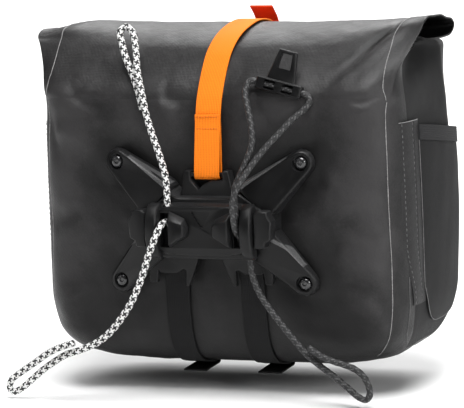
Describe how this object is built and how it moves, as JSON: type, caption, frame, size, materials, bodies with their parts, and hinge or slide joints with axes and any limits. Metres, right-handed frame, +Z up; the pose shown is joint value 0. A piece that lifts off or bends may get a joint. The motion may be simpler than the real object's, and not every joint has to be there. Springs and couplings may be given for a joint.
{
  "type": "bicycle handlebar bag",
  "caption": "Roll-top handlebar bag with side pockets, an X-shaped adapter plate and a corded quick-release bracket.",
  "frame": {"origin": "centre of the bracket's face that lies against the handlebar", "axes": "+Z up, +X along the handlebar to the right as seen from the rider, +Y forward from the bar into the bag"},
  "size_m": [0.3272, 0.2077, 0.2907],
  "materials": {
    "coated_fabric": "coated, satin",
    "pocket_fabric": "woven, matte",
    "hem_webbing": "ribbed elastic, matte",
    "welded_tape": "coated, satin",
    "moulded_plastic": "moulded, matte",
    "black_steel": "black, glossy",
    "orange_webbing": "woven, matte",
    "red_orange_webbing": "woven, matte",
    "black_webbing": "woven, matte",
    "reflective_cord": "braided with black flecks",
    "black_cord": "braided, matte"
  },
  "bodies": {
    "root": {"bag_body": "coated_fabric", "roll_top": "coated_fabric", "pocket_right": "pocket_fabric", "pocket_left": "pocket_fabric", "pocket_hem_right": "hem_webbing", "pocket_hem_left": "hem_webbing", "pocket_tape_right": "welded_tape", "pocket_tape_left": "welded_tape", "adapter_plate": "moulded_plastic", "screw_top_left": "black_steel", "screw_top_right": "black_steel", "screw_bottom_left": "black_steel", "screw_bottom_right": "black_steel", "bracket_housing": "moulded_plastic", "cord_guide_left": "moulded_plastic", "cord_guide_right": "moulded_plastic", "latch_left": "moulded_plastic", "latch_right": "moulded_plastic", "closure_strap": "orange_webbing", "strap_tab": "red_orange_webbing", "front_clasp": "moulded_plastic", "front_anchor": "black_webbing", "lower_strap_left": "black_webbing", "lower_strap_right": "black_webbing", "cord_hook": "moulded_plastic", "white_cord_upper": "reflective_cord", "white_cord_lower": "reflective_cord", "black_cord_upper": "black_cord", "black_cord_lower": "black_cord"}
  },
  "joints": []
}
